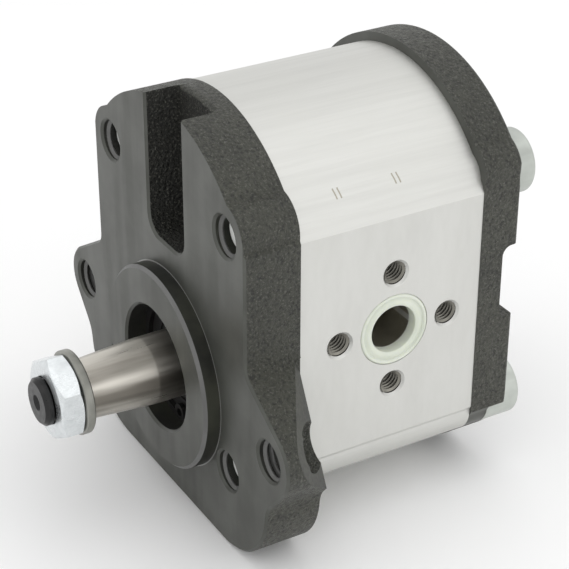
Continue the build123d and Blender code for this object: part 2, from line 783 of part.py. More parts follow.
# Port rings, one in each port's counterbore
for name, face, outer, bore in (("pressure_port_ring", pressure_face, port_ring_radius, port_radius),
                                ("suction_port_ring", suction_face, suction_ring_radius, suction_radius)):
    with BuildPart() as port_ring:
        with BuildSketch(face.offset(port_ring_proud)):
            Circle(outer)
            Circle(bore, mode=Mode.SUBTRACT)
        extrude(amount=-port_ring_depth)
        rim = port_ring.faces().sort_by(Axis.X)[-1 if face.z_dir.X > 0 else 0]
        chamfer(rim.edges(), length=port_ring_chamfer)
    port_ring.part.label = name
    export_step(port_ring.part, f"parts/{name}.step")
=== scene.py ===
import bpy
import bmesh
import json
from math import cos, pi, radians, sin, tau
from mathutils import Matrix, Vector


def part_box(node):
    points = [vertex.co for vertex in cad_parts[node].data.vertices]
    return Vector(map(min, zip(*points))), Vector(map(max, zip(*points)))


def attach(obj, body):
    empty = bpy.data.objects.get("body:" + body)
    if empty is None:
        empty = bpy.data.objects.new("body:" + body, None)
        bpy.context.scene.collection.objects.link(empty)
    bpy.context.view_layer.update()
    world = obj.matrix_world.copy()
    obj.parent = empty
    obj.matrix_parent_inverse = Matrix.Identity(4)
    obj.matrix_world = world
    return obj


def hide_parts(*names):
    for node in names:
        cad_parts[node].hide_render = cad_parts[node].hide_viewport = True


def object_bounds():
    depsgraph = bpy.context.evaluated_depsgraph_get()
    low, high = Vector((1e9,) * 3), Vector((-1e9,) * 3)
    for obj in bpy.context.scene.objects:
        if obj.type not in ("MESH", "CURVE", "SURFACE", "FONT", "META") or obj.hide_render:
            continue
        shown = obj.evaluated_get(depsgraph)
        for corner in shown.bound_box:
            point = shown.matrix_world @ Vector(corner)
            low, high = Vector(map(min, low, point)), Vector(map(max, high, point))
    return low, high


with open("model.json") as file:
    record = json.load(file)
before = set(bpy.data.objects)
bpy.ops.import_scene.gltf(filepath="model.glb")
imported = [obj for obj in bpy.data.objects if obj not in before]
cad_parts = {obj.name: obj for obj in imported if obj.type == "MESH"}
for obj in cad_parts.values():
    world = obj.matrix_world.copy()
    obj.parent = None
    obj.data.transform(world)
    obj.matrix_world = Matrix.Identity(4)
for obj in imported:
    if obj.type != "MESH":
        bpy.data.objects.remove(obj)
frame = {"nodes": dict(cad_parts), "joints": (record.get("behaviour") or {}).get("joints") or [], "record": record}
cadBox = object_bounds()
cadNodes = frame["nodes"]
mounts = {mount["name"]: mount for mount in frame["record"]["mounts"]}
scene = bpy.context.scene
mm = 0.001
mergeDistance = 0.002 * mm
print("frame loaded:", len(cadNodes), "nodes")


# ---- places read from the frame
def highest(node):
    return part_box(node)[1]


def mountSize(name, size):
    return mounts[name]["dims"][size] * mm


flangeFrontY = mounts["pilot"]["pos_m"][1]
portFaceX = mounts["pressure_port_face"]["pos_m"][0]
portCentre = Vector(mounts["pressure_port"]["pos_m"])
portCentre.x = portFaceX
suctionCentre = Vector(mounts["suction_port"]["pos_m"])
suctionCentre.x = -portFaceX
boltLow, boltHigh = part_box("body_bolts")
boltHeadRadius = 8 * mm
boltCentres = [(x, z) for x in (boltLow.x + boltHeadRadius, boltHigh.x - boltHeadRadius)
               for z in (boltLow.z + boltHeadRadius, boltHigh.z - boltHeadRadius)]
drivenCentreZ = frame["joints"][1]["pos_m"][2]
earReach = mountSize("ear_holes", "spacing_x_mm") / 2
pilotRadius = mountSize("pilot", "r_mm")


# ---- small helpers for nodes and groups
def addNode(tree, kind, settings=None, inputs=None):
    made = tree.nodes.new(kind)
    for key, value in (settings or {}).items():
        setattr(made, key, value)
    for key, value in (inputs or {}).items():
        if isinstance(value, bpy.types.NodeSocket):
            tree.links.new(value, made.inputs[key])
        else:
            made.inputs[key].default_value = value
    return made


def startGroup(name, inputs, outputs):
    tree = bpy.data.node_groups.new(name, "ShaderNodeTree")
    for label, kind, value in inputs:
        tree.interface.new_socket(label, in_out="INPUT", socket_type=kind).default_value = value
    for label in outputs:
        tree.interface.new_socket(label, in_out="OUTPUT", socket_type="NodeSocketFloat")
    return tree, addNode(tree, "NodeGroupInput").outputs, addNode(tree, "NodeGroupOutput")


def rescale(tree, value, low, high, newLow=0.0, newHigh=1.0):
    return addNode(tree, "ShaderNodeMapRange", {"interpolation_type": "SMOOTHSTEP"},
                   {"Value": value, "From Min": low, "From Max": high,
                    "To Min": newLow, "To Max": newHigh}).outputs["Result"]


def calculate(tree, operation, first, second):
    return addNode(tree, "ShaderNodeMath", {"operation": operation}, {0: first, 1: second}).outputs[0]


def vectorMath(tree, operation, first, second):
    return addNode(tree, "ShaderNodeVectorMath", {"operation": operation}, {0: first, 1: second})


# 1 where the value lies within the reach of the target, otherwise 0
def nearTo(tree, value, target, reach):
    compared = addNode(tree, "ShaderNodeMath", {"operation": "COMPARE"}, {0: value, 1: target, 2: reach})
    return compared.outputs[0]


def noiseOn(tree, place, scale, detail=4.0, rough=0.5):
    return addNode(tree, "ShaderNodeTexNoise", None,
                   {"Vector": place, "Scale": scale, "Detail": detail, "Roughness": rough}).outputs["Fac"]


def mixColours(tree, share, first, second):
    mixed = addNode(tree, "ShaderNodeMix", {"data_type": "RGBA"}, {0: share, 6: first, 7: second})
    return mixed.outputs[2]


# Scales are times the pebbles' own scale, except the patches', and heights are weights in a sum
castGrain = {"pebbleHeight": 1.05, "lumpScale": 0.28, "lumpHeight": 0.25, "cellScale": 1.15,
             "cellHeight": 0.35, "fleckScale": 1.6, "fleckFull": 0.70, "patchScale": 45.0}
lineGrain = {"streakScale": 0.2, "cloudScale": 60.0}


# Sand-cast skin: pebbles, small pits darkened as painted shade, and bright specks painted in as glints
def makeCastSkin():
    tree, given, result = startGroup("castSkin", [("Pebble", "NodeSocketFloat", 900.0),
                                                  ("Fleck", "NodeSocketFloat", 0.6)],
                                     ["Height", "Flecks", "Patches"])
    place = addNode(tree, "ShaderNodeTexCoord").outputs["Object"]
    lumpScale = calculate(tree, "MULTIPLY", given["Pebble"], castGrain["lumpScale"])
    cellScale = calculate(tree, "MULTIPLY", given["Pebble"], castGrain["cellScale"])
    fleckScale = calculate(tree, "MULTIPLY", given["Pebble"], castGrain["fleckScale"])
    pebbles = noiseOn(tree, place, given["Pebble"], 5.0, 0.62)
    lumps = noiseOn(tree, place, lumpScale, 3.0, 0.5)
    cells = addNode(tree, "ShaderNodeTexVoronoi", {"feature": "SMOOTH_F1"},
                    {"Vector": place, "Scale": cellScale}).outputs["Distance"]
    raised = calculate(tree, "ADD", calculate(tree, "MULTIPLY", pebbles, castGrain["pebbleHeight"]),
                       calculate(tree, "MULTIPLY", lumps, castGrain["lumpHeight"]))
    height = calculate(tree, "SUBTRACT", raised, calculate(tree, "MULTIPLY", cells, castGrain["cellHeight"]))
    # bright specks where a fine noise runs high: painted glints
    glintMask = rescale(tree, noiseOn(tree, place, fleckScale, 3.0, 0.7), given["Fleck"], castGrain["fleckFull"])
    patches = rescale(tree, noiseOn(tree, place, castGrain["patchScale"], 3.0, 0.6), 0.3, 0.75)
    tree.links.new(height, result.inputs["Height"])
    tree.links.new(glintMask, result.inputs["Flecks"])
    tree.links.new(patches, result.inputs["Patches"])
    return tree


# Fine lines along one direction, as left by a die, a mill or a belt
def makeDrawnLines():
    tree, given, result = startGroup("drawnLines", [("Stretch", "NodeSocketVector", (1, 1, 1)),
                                                    ("Fineness", "NodeSocketFloat", 900.0)],
                                     ["Height", "Streaks", "Clouds"])
    place = addNode(tree, "ShaderNodeTexCoord").outputs["Object"]
    drawn = addNode(tree, "ShaderNodeMapping", None, {"Vector": place, "Scale": given["Stretch"]}).outputs[0]
    tree.links.new(noiseOn(tree, drawn, given["Fineness"], 4.0, 0.65), result.inputs["Height"])
    streakScale = calculate(tree, "MULTIPLY", given["Fineness"], lineGrain["streakScale"])
    streaks = rescale(tree, noiseOn(tree, drawn, streakScale, 3.0, 0.5), 0.35, 0.7)
    tree.links.new(streaks, result.inputs["Streaks"])
    clouds = rescale(tree, noiseOn(tree, place, lineGrain["cloudScale"], 4.0, 0.6), 0.3, 0.75)
    tree.links.new(clouds, result.inputs["Clouds"])
    return tree


# Rings about the shaft's direction, as left by a lathe
def makeTurnedRings():
    tree, given, result = startGroup("turnedRings", [("Centre", "NodeSocketVector", (0, 0, 0)),
                                                     ("Fineness", "NodeSocketFloat", 2500.0)],
                                     ["Height", "Radius"])
    place = addNode(tree, "ShaderNodeTexCoord").outputs["Object"]
    fromCentre = vectorMath(tree, "SUBTRACT", place, given["Centre"]).outputs[0]
    acrossShaft = vectorMath(tree, "MULTIPLY", fromCentre, (1, 0, 1)).outputs[0]
    radius = vectorMath(tree, "LENGTH", acrossShaft, (0, 0, 0)).outputs["Value"]
    tree.links.new(radius, result.inputs["Radius"])
    rings = addNode(tree, "ShaderNodeTexNoise", {"noise_dimensions": "1D"},
                    {"W": radius, "Scale": given["Fineness"], "Detail": 3.0, "Roughness": 0.6}).outputs["Fac"]
    tree.links.new(rings, result.inputs["Height"])
    return tree


castSkin = makeCastSkin()
drawnLines = makeDrawnLines()
turnedRings = makeTurnedRings()


def useGroup(tree, group, inputs=None):
    return addNode(tree, "ShaderNodeGroup", {"node_tree": group}, inputs).outputs


def startMaterial(name, metallic, specular=0.5):
    material = bpy.data.materials.new(name)
    material.use_nodes = True
    tree = material.node_tree
    shader = tree.nodes["Principled BSDF"]
    shader.inputs["Metallic"].default_value = metallic
    shader.inputs["Specular IOR Level"].default_value = specular
    return material, tree, shader


def raiseSurface(tree, shader, height, strength, depth):
    bump = addNode(tree, "ShaderNodeBump", None, {"Height": height, "Strength": strength, "Distance": depth})
    tree.links.new(bump.outputs[0], shader.inputs["Normal"])


def varyRoughness(tree, shader, value, low, high, smooth, rough):
    tree.links.new(rescale(tree, value, low, high, smooth, rough), shader.inputs["Roughness"])


# ---- finishes
ironLook = {"skin": (0.046, 0.048, 0.035, 1), "skinLight": (0.070, 0.072, 0.053, 1),
            # next line: the skin darkened as painted shade for the slot
            "pocket": (0.016, 0.016, 0.013, 1), "pocketLight": (0.026, 0.026, 0.021, 1),
            # next line: painted shade for the skin's low spots, then painted glints
            "pit": (0.020, 0.020, 0.016, 1), "fleck": (0.155, 0.157, 0.13, 1),
            "machined": (0.086, 0.089, 0.079, 1), "machinedDark": (0.054, 0.056, 0.048, 1),
            # the second colour on the next line is painted shade for the flange's holes
            "pilotSide": (0.008, 0.008, 0.007, 1), "hole": (0.022, 0.022, 0.021, 1),
            "grain": {"Pebble": 1100.0, "Fleck": 0.52}, "grainDepth": 2.6 * mm,
            # next line: a painted highlight ring round the pilot's base, its colour, radius and half width
            "line": (0.30, 0.30, 0.29, 1), "lineRadius": pilotRadius + 0.1 * mm, "lineHalfWidth": 0.22 * mm}
fineDepth = 0.03 * mm
turnedDepth = 0.02 * mm


def makeIronSkin(name, light, dark, specular):
    material, tree, shader = startMaterial(name, 0.1, specular)
    skin = useGroup(tree, castSkin, ironLook["grain"])
    ground = mixColours(tree, skin["Patches"], dark, light)
    # low spots of the skin darkened: painted shade in the pits
    pitShaded = mixColours(tree, rescale(tree, skin["Height"], 0.24, 0.56), ironLook["pit"], ground)
    # bright specks laid over the skin: painted glints
    tree.links.new(mixColours(tree, skin["Flecks"], pitShaded, ironLook["fleck"]), shader.inputs["Base Color"])
    varyRoughness(tree, shader, skin["Height"], 0.2, 0.9, 0.62, 0.36)
    raiseSurface(tree, shader, skin["Height"], 1.0, ironLook["grainDepth"])
    return material


def makeMachinedIron():
    material, tree, shader = startMaterial("machinedIron", 0.35)
    rings = useGroup(tree, turnedRings, {"Fineness": 2600.0})
    lines = useGroup(tree, drawnLines, {"Stretch": (1, 1, 0.12), "Fineness": 700.0})
    ground = mixColours(tree, lines["Clouds"], ironLook["machinedDark"], ironLook["machined"])
    # a thin ring round the pilot's base lightened: a painted highlight
    bright = nearTo(tree, rings["Radius"], ironLook["lineRadius"], ironLook["lineHalfWidth"])
    tree.links.new(mixColours(tree, bright, ground, ironLook["line"]), shader.inputs["Base Color"])
    varyRoughness(tree, shader, lines["Streaks"], 0.0, 1.0, 0.36, 0.46)
    both = calculate(tree, "ADD", calculate(tree, "MULTIPLY", rings["Height"], 0.6), lines["Height"])
    raiseSurface(tree, shader, both, 0.18, fineDepth)
    return material


def makePlain(name, colour, second, metallic, rough, stretch=(1, 1, 1), depth=fineDepth):
    material, tree, shader = startMaterial(name, metallic)
    lines = useGroup(tree, drawnLines, {"Stretch": stretch, "Fineness": 1100.0})
    tree.links.new(mixColours(tree, lines["Clouds"], colour, second), shader.inputs["Base Color"])
    varyRoughness(tree, shader, lines["Height"], 0.25, 0.75, rough, rough + 0.12)
    raiseSurface(tree, shader, lines["Height"], 0.25, depth)
    return material


def makePilotSide():
    material, tree, shader = startMaterial("pilotSide", 0.2)
    lines = useGroup(tree, drawnLines, {"Stretch": (0.3, 3, 0.3), "Fineness": 900.0})
    ground = mixColours(tree, lines["Clouds"], ironLook["pilotSide"], ironLook["skin"])
    tree.links.new(ground, shader.inputs["Base Color"])
    shader.inputs["Roughness"].default_value = 0.42
    raiseSurface(tree, shader, lines["Height"], 0.25, fineDepth)
    return material


aluminiumLook = {"light": (0.655, 0.655, 0.63, 1), "dark": (0.62, 0.62, 0.595, 1),
                 "face": (0.64, 0.64, 0.61, 1), "mark": (0.38, 0.36, 0.30, 1)}
punched = {"z": 54.2 * mm, "halfLength": 0.85 * mm, "halfWidth": 0.19 * mm,
           "alongBody": [26.3 * mm, 27.5 * mm, 42.1 * mm, 43.3 * mm]}


# Two pairs of short punched lines on the shoulder towards the pressure port
def punchMarks(tree):
    place = addNode(tree, "ShaderNodeTexCoord").outputs["Object"]
    apart = addNode(tree, "ShaderNodeSeparateXYZ", None, {0: place}).outputs
    band = nearTo(tree, apart["Z"], punched["z"], punched["halfLength"])
    strokes = 0.0
    for y in punched["alongBody"]:
        strokes = calculate(tree, "ADD", nearTo(tree, apart["Y"], y, punched["halfWidth"]), strokes)
    shown = calculate(tree, "MULTIPLY", band, strokes)
    return calculate(tree, "MULTIPLY", shown, calculate(tree, "GREATER_THAN", apart["X"], 0.0))


def makeExtruded(name, stretch, lines, depth, rough, marked=False):
    material, tree, shader = startMaterial(name, 0.85)
    drawn = useGroup(tree, drawnLines, {"Stretch": stretch, "Fineness": lines})
    ground = mixColours(tree, drawn["Streaks"], aluminiumLook["light"], aluminiumLook["dark"])
    faint = calculate(tree, "MULTIPLY", drawn["Clouds"], 0.5)
    clouded = mixColours(tree, faint, ground, aluminiumLook["face"])
    if marked:
        clouded = mixColours(tree, punchMarks(tree), clouded, aluminiumLook["mark"])
    tree.links.new(clouded, shader.inputs["Base Color"])
    varyRoughness(tree, shader, drawn["Height"], 0.2, 0.8, rough, rough + 0.12)
    raiseSurface(tree, shader, drawn["Height"], 0.35, depth)
    return material


def makeTurnedMetal(name, colour, second, metallic, rough, centre=(0, 0, 0)):
    material, tree, shader = startMaterial(name, metallic)
    turned = useGroup(tree, turnedRings, {"Fineness": 2200.0, "Centre": centre})
    lines = useGroup(tree, drawnLines, {"Stretch": (0.15, 1.6, 0.15), "Fineness": 1500.0})
    tree.links.new(mixColours(tree, lines["Clouds"], colour, second), shader.inputs["Base Color"])
    varyRoughness(tree, shader, lines["Height"], 0.25, 0.75, rough, rough + 0.1)
    raiseSurface(tree, shader, calculate(tree, "ADD", turned["Height"], lines["Height"]), 0.3, turnedDepth)
    return material


# the first two colours are painted reflection streaks along the ground taper
shaftLook = {"light": (0.66, 0.63, 0.57, 1), "dark": (0.20, 0.185, 0.16, 1),
             "thread": (0.035, 0.035, 0.035, 1)}
threadStartY = highest("lock_washer").y


# Ground taper with painted reflection streaks along it, which turns black where the thread begins
def makeShaftSteel():
    material, tree, shader = startMaterial("shaftSteel", 0.9)
    lines = useGroup(tree, drawnLines, {"Stretch": (1, 0.05, 1), "Fineness": 900.0})
    rings = useGroup(tree, turnedRings, {"Fineness": 1800.0})
    # light and dark streaks along the shaft: painted reflections
    ground = mixColours(tree, lines["Streaks"], shaftLook["light"], shaftLook["dark"])
    place = addNode(tree, "ShaderNodeTexCoord").outputs["Object"]
    along = addNode(tree, "ShaderNodeSeparateXYZ", None, {0: place}).outputs["Y"]
    blackened = calculate(tree, "LESS_THAN", along, threadStartY)
    tree.links.new(mixColours(tree, blackened, ground, shaftLook["thread"]), shader.inputs["Base Color"])
    varyRoughness(tree, shader, lines["Height"], 0.25, 0.75, 0.26, 0.42)
    raiseSurface(tree, shader, calculate(tree, "ADD", rings["Height"], lines["Height"]), 0.25, turnedDepth)
    return material


zincLook = {"light": (0.84, 0.87, 0.88, 1), "dark": (0.56, 0.59, 0.60, 1), "depth": 0.12 * mm}
rubberLook = {"dark": (0.012, 0.012, 0.012, 1), "light": (0.022, 0.022, 0.021, 1), "rough": 0.38}


def makeZinc():
    material, tree, shader = startMaterial("brightZinc", 0.9)
    lines = useGroup(tree, drawnLines, {"Stretch": (1, 0.6, 1), "Fineness": 900.0})
    ground = mixColours(tree, lines["Height"], zincLook["light"], zincLook["dark"])
    tree.links.new(ground, shader.inputs["Base Color"])
    varyRoughness(tree, shader, lines["Streaks"], 0.0, 1.0, 0.24, 0.38)
    raiseSurface(tree, shader, lines["Height"], 0.4, zincLook["depth"])
    return material


def makeRubber():
    material, tree, shader = startMaterial("sealRubber", 0.0, 0.4)
    lines = useGroup(tree, drawnLines, {"Stretch": (1, 1, 1), "Fineness": 2500.0})
    ground = mixColours(tree, lines["Clouds"], rubberLook["dark"], rubberLook["light"])
    tree.links.new(ground, shader.inputs["Base Color"])
    shader.inputs["Roughness"].default_value = rubberLook["rough"]
    raiseSurface(tree, shader, lines["Height"], 0.15, fineDepth)
    return material


def makePlastic(name, colour, second, rough, glow):
    material, tree, shader = startMaterial(name, 0.0)
    lines = useGroup(tree, drawnLines, {"Stretch": (1, 1, 1), "Fineness": 1200.0})
    tree.links.new(mixColours(tree, lines["Clouds"], colour, second), shader.inputs["Base Color"])
    shader.inputs["Roughness"].default_value = rough
    shader.inputs["Subsurface Weight"].default_value = glow
    shader.inputs["Subsurface Radius"].default_value = (0.0015, 0.0015, 0.001)
    shader.inputs["Subsurface Scale"].default_value = 1.0
    raiseSurface(tree, shader, lines["Height"], 0.1, fineDepth)
    return material


drivenCentre = (0, 0, drivenCentreZ)
finishes = {
    "ironSkin": makeIronSkin("ironSkin", ironLook["skinLight"], ironLook["skin"], 0.8),
    # iron skin darkened as painted shade in the slot
    "ironPocket": makeIronSkin("ironPocket", ironLook["pocketLight"], ironLook["pocket"], 0.5),
    "machinedIron": makeMachinedIron(),
    "pilotSide": makePilotSide(),
    "extruded": makeExtruded("extrudedAluminium", (1, 0.03, 1), 2800.0, 0.05 * mm, 0.46, True),
    "milled": makeExtruded("milledAluminium", (1, 0.3, 0.1), 1700.0, 0.04 * mm, 0.45),
    "dieCast": makeExtruded("dieCastAluminium", (1, 1, 1), 900.0, 0.04 * mm, 0.45),
    "machinedRim": makePlain("machinedRim", (0.15, 0.15, 0.147, 1), (0.11, 0.11, 0.107, 1), 0.3, 0.40),
    # hole walls darkened near black: painted shade in the flange's holes
    "ironHole": makePlain("ironHole", ironLook["hole"], ironLook["skin"], 0.2, 0.40),
    "ironThread": makePlain("ironThread", (0.16, 0.16, 0.155, 1), (0.10, 0.10, 0.097, 1), 0.5, 0.36),
    # tapped hole walls of the aluminium body near black: painted shade in the holes
    "portHole": makePlain("portHole", (0.035, 0.033, 0.028, 1), (0.02, 0.019, 0.016, 1), 0.5, 0.38),
    # brown, lightened metal inside the port bore: painted reflection
    "portBore": makePlain("portBore", (0.50, 0.48, 0.41, 1), (0.34, 0.31, 0.24, 1), 0.9, 0.30,
                          (3, 0.1, 0.1), 0.1 * mm),
    # thread ridges darker than the body's aluminium: painted shade in the holes
    "portThread": makePlain("portThread", (0.26, 0.25, 0.22, 1), (0.16, 0.155, 0.135, 1), 0.85, 0.28),
    "shaftSteel": makeShaftSteel(),
    "drivenSteel": makeTurnedMetal("drivenSteel", (0.52, 0.51, 0.48, 1), (0.42, 0.41, 0.39, 1), 1.0, 0.22,
                                   drivenCentre),
    "darkSteel": makeTurnedMetal("darkSteel", (0.018, 0.018, 0.018, 1), (0.032, 0.031, 0.030, 1), 0.5, 0.38),
    "washerSteel": makeTurnedMetal("washerSteel", (0.34, 0.34, 0.31, 1), (0.19, 0.19, 0.17, 1), 0.8, 0.36),
    "boltSteel": makePlain("boltSteel", (0.56, 0.59, 0.55, 1), (0.42, 0.44, 0.41, 1), 0.85, 0.30,
                           (1, 0.03, 1), 0.15 * mm),
    # bolt tips near white and hardly metallic: painted light on tips that sit in shadow in the holes
    "boltTip": makePlain("boltTip", (0.86, 0.87, 0.85, 1), (0.70, 0.71, 0.69, 1), 0.1, 0.35),
    "bronze": makeTurnedMetal("sinteredBronze", (0.50, 0.33, 0.16, 1), (0.42, 0.27, 0.13, 1), 0.9, 0.4),
    "zinc": makeZinc(),
    "rubber": makeRubber(),
    "backup": makePlastic("backupPlastic", (0.75, 0.72, 0.64, 1), (0.68, 0.65, 0.57, 1), 0.4, 0.1),
    "ivory": makePlastic("ivoryPlastic", (0.70, 0.73, 0.64, 1), (0.60, 0.64, 0.55, 1), 0.3, 0.35),
}
print("finishes made:", len(finishes))


# ---- pieces
def finishPiece(piece, body, slot, *replaced):
    scene.collection.objects.link(piece)
    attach(piece, body)
    if replaced:
        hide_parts(*replaced)
    return piece


def wearFinish(node, finish):
    target = cadNodes[node].data.materials
    target.clear()
    target.append(finishes[finish])


flatAngle = 0.4
softening = {"front_flange": {"edge": 0.22 * mm, "steps": 2, "crease": 22},
             "rear_cover": {"edge": 0.35 * mm, "steps": 2, "crease": 22},
             "pump_body": {"edge": 0.2 * mm, "steps": 2, "crease": 20},
             "shaft_nut": {"edge": 0.18 * mm, "steps": 3, "crease": 12},
             "lock_washer": {"edge": 0.12 * mm, "steps": 2, "crease": 32},
             "body_bolts": {"edge": 0.2 * mm, "steps": 2, "crease": 32}}


# A merged copy of a CAD node with its edges broken, and a finish chosen face by face
def softenedCopy(node, name, finishNames, chooseFinish=None):
    edges = softening[node]
    mesh = cadNodes[node].data.copy()
    normals = mesh.attributes.get("custom_normal")
    if normals:
        mesh.attributes.remove(normals)
    mesh.materials.clear()
    for finish in finishNames:
        mesh.materials.append(finishes[finish])
    bm = bmesh.new()
    bm.from_mesh(mesh)
    bmesh.ops.remove_doubles(bm, verts=bm.verts, dist=mergeDistance)
    bmesh.ops.dissolve_limit(bm, angle_limit=radians(flatAngle), verts=bm.verts, edges=bm.edges,
                             delimit={"NORMAL"})
    for face in bm.faces:
        face.smooth = True
        chosen = chooseFinish(face.calc_center_median(), face.normal) if chooseFinish else finishNames[0]
        face.material_index = finishNames.index(chosen)
    bm.to_mesh(mesh)
    bm.free()
    mesh.set_sharp_from_angle(angle=radians(edges["crease"]))
    piece = bpy.data.objects.new(name, mesh)
    bevel = piece.modifiers.new("brokenEdges", "BEVEL")
    bevel.width = edges["edge"]
    bevel.segments = edges["steps"]
    bevel.limit_method = "ANGLE"
    bevel.angle_limit = radians(edges["crease"])
    bevel.use_clamp_overlap = True
    bevel.harden_normals = True
    return piece


def radiusFrom(centre, x, z):
    return ((centre.x - x) ** 2 + (centre.z - z) ** 2) ** 0.5


# How far a face's normal lies along an axis before the face counts as looking that way
facing = {"end": 0.98, "port": 0.999, "bevel": 0.9, "side": 0.5, "front": 0.4}
holeCentres = boltCentres + [(-earReach, 0), (earReach, 0)]
flangeZones = {"rimReach": 1.2 * mm, "rimStart": 0.05 * mm, "faceDepth": 0.7 * mm, "slotReach": 9.05 * mm,
               "sealBoreReach": 18 * mm, "holeReach": 5.8 * mm}


def flangeFinish(centre, normal):
    fromAxis = radiusFrom(centre, 0, 0)
    behindFace = centre.y - flangeFrontY
    turned = abs(fromAxis - pilotRadius) < flangeZones["rimReach"] and behindFace < -flangeZones["rimStart"]
    if turned and abs(normal.y) < facing["bevel"]:
        return "pilotSide" if abs(normal.y) < facing["side"] else "machinedRim"
    if behindFace < flangeZones["faceDepth"] and normal.y < -facing["front"]:
        return "machinedIron"
    # slot faces above the pilot take the painted slot shade
    inSlot = abs(centre.x) < flangeZones["slotReach"] and behindFace < flangeZones["slotReach"]
    if inSlot and centre.z > pilotRadius:
        return "ironPocket"
    # the seal bore and the bolt and ear hole walls take the painted hole shade
    if fromAxis < flangeZones["sealBoreReach"]:
        return "ironHole"
    if normal.y > facing["end"]:
        return "machinedIron"
    fromHole = min(radiusFrom(centre, x, z) for x, z in holeCentres)
    inHole = fromHole < flangeZones["holeReach"] and abs(normal.y) < facing["bevel"]
    return "ironHole" if inHole else "ironSkin"


flangeFinishes = ["ironSkin", "machinedIron", "pilotSide", "machinedRim", "ironHole", "ironPocket"]
flange = softenedCopy("front_flange", "flangeCasting", flangeFinishes, flangeFinish)
finishPiece(flange, "casing", "cast_iron", "front_flange")

counterboreReach = 8.8 * mm


def coverFinish(centre, normal):
    inHole = min(radiusFrom(centre, x, z) for x, z in boltCentres) < counterboreReach
    return "machinedIron" if normal.y < -facing["end"] or inHole else "ironSkin"


cover = softenedCopy("rear_cover", "coverCasting", ["ironSkin", "machinedIron"], coverFinish)
finishPiece(cover, "casing", "cast_iron", "rear_cover")


def plusPattern(centre, pcd):
    turns = [quarter * pi / 2 for quarter in range(4)]
    return [centre + Vector((0, cos(turn), sin(turn))) * pcd / 2 for turn in turns]


portHoles = plusPattern(portCentre, mountSize("pressure_port_bolts", "pcd_mm"))
suctionHoles = plusPattern(suctionCentre, mountSize("suction_port_bolts", "pcd_mm"))
bodyZones = {"holeReach": 3.2 * mm, "portReach": 8.2 * mm, "portStart": 0.1 * mm}


def acrossPort(centre, middle):
    return ((centre.y - middle.y) ** 2 + (centre.z - middle.z) ** 2) ** 0.5


def bodyFinish(centre, normal):
    if abs(normal.y) > facing["end"] or abs(normal.x) > facing["port"]:
        return "milled"
    # walls of the ports' tapped holes take the painted hole shade
    for hole in portHoles + suctionHoles:
        if centre.x * hole.x > 0 and acrossPort(centre, hole) < bodyZones["holeReach"]:
            return "portHole"
    # faces inside the pressure port's bore take the painted reflection
    inside = abs(centre.x) < portFaceX - bodyZones["portStart"]
    inPort = inside and acrossPort(centre, portCentre) < bodyZones["portReach"]
    return "portBore" if inPort else "extruded"


body = softenedCopy("pump_body", "bodyExtrusion", ["extruded", "milled", "portHole", "portBore"], bodyFinish)
finishPiece(body, "casing", "body_aluminium", "pump_body")
print("casings softened")

nut = softenedCopy("shaft_nut", "shaftNutPlated", ["zinc"])
finishPiece(nut, "drive", "zinc_steel", "shaft_nut")

washer = softenedCopy("lock_washer", "splitWasher", ["washerSteel"])
finishPiece(washer, "drive", "spring_steel", "lock_washer")

tipDepth = 1.2 * mm


# the bolts' tip ends take the painted light
def boltFinish(centre, normal):
    return "boltTip" if centre.y < boltLow.y + tipDepth else "boltSteel"


bolts = softenedCopy("body_bolts", "bodyBoltsPlated", ["boltSteel", "boltTip"], boltFinish)
finishPiece(bolts, "casing", "bolt_steel", "body_bolts")


# ---- tapped holes: a helical ridge stands on each hole's wall
ridgeSpec = {"foot": 0.44, "crest": 0.16, "crease": 30}


def threadRidges(name, mouths, direction, spec, finish, slot):
    bm = bmesh.new()
    along = Vector(direction)
    turns = int((spec["depth"] - spec["start"]) / spec["pitch"])
    steps = spec["stepsPerTurn"] * turns
    for mouth in mouths:
        out = along.orthogonal().normalized()
        begin = Vector(mouth) + along * spec["start"]
        half = spec["pitch"] * ridgeSpec["foot"]
        corners = [begin + out * spec["wall"] - along * half,
                   begin + out * spec["crest"] - along * half * ridgeSpec["crest"],
                   begin + out * spec["crest"] + along * half * ridgeSpec["crest"],
                   begin + out * spec["wall"] + along * half]
        face = bm.faces.new([bm.verts.new(corner) for corner in corners])
        bmesh.ops.spin(bm, geom=[face, *face.edges, *face.verts], cent=mouth, axis=along,
                       dvec=along * (spec["pitch"] / spec["stepsPerTurn"]), angle=tau * turns, steps=steps,
                       use_merge=False, use_duplicate=False)
    bmesh.ops.holes_fill(bm, edges=[edge for edge in bm.edges if edge.is_boundary], sides=0)
    bmesh.ops.recalc_face_normals(bm, faces=bm.faces)
    for face in bm.faces:
        face.smooth = True
    mesh = bpy.data.meshes.new(name)
    bm.to_mesh(mesh)
    bm.free()
    mesh.set_sharp_from_angle(angle=radians(ridgeSpec["crease"]))
    mesh.materials.append(finishes[finish])
    return finishPiece(bpy.data.objects.new(name, mesh), "casing", slot)


earThread = {"wall": 5.03 * mm, "crest": 4.25 * mm, "pitch": 1.5 * mm, "stepsPerTurn": 32,
             "start": 1.2 * mm, "depth": 7.0 * mm}
boltThread = {**earThread, "start": 1.1 * mm, "depth": 3.2 * mm}
portThread = {"wall": 3.02 * mm, "crest": 2.42 * mm, "pitch": 1.0 * mm, "stepsPerTurn": 24,
              "start": 0.62 * mm, "depth": 10.7 * mm}
threadRidges("earThreads", [(side * earReach, flangeFrontY, 0) for side in (-1, 1)], (0, 1, 0), earThread,
             "ironThread", "cast_iron")
threadRidges("boltHoleThreads", [(x, flangeFrontY, z) for x, z in boltCentres], (0, 1, 0), boltThread,
             "ironThread", "cast_iron")
threadRidges("pressurePortThreads", portHoles, (-1, 0, 0), portThread, "portThread", "body_aluminium")
threadRidges("suctionPortThreads", suctionHoles, (1, 0, 0), portThread, "portThread", "body_aluminium")
print("threads cut")


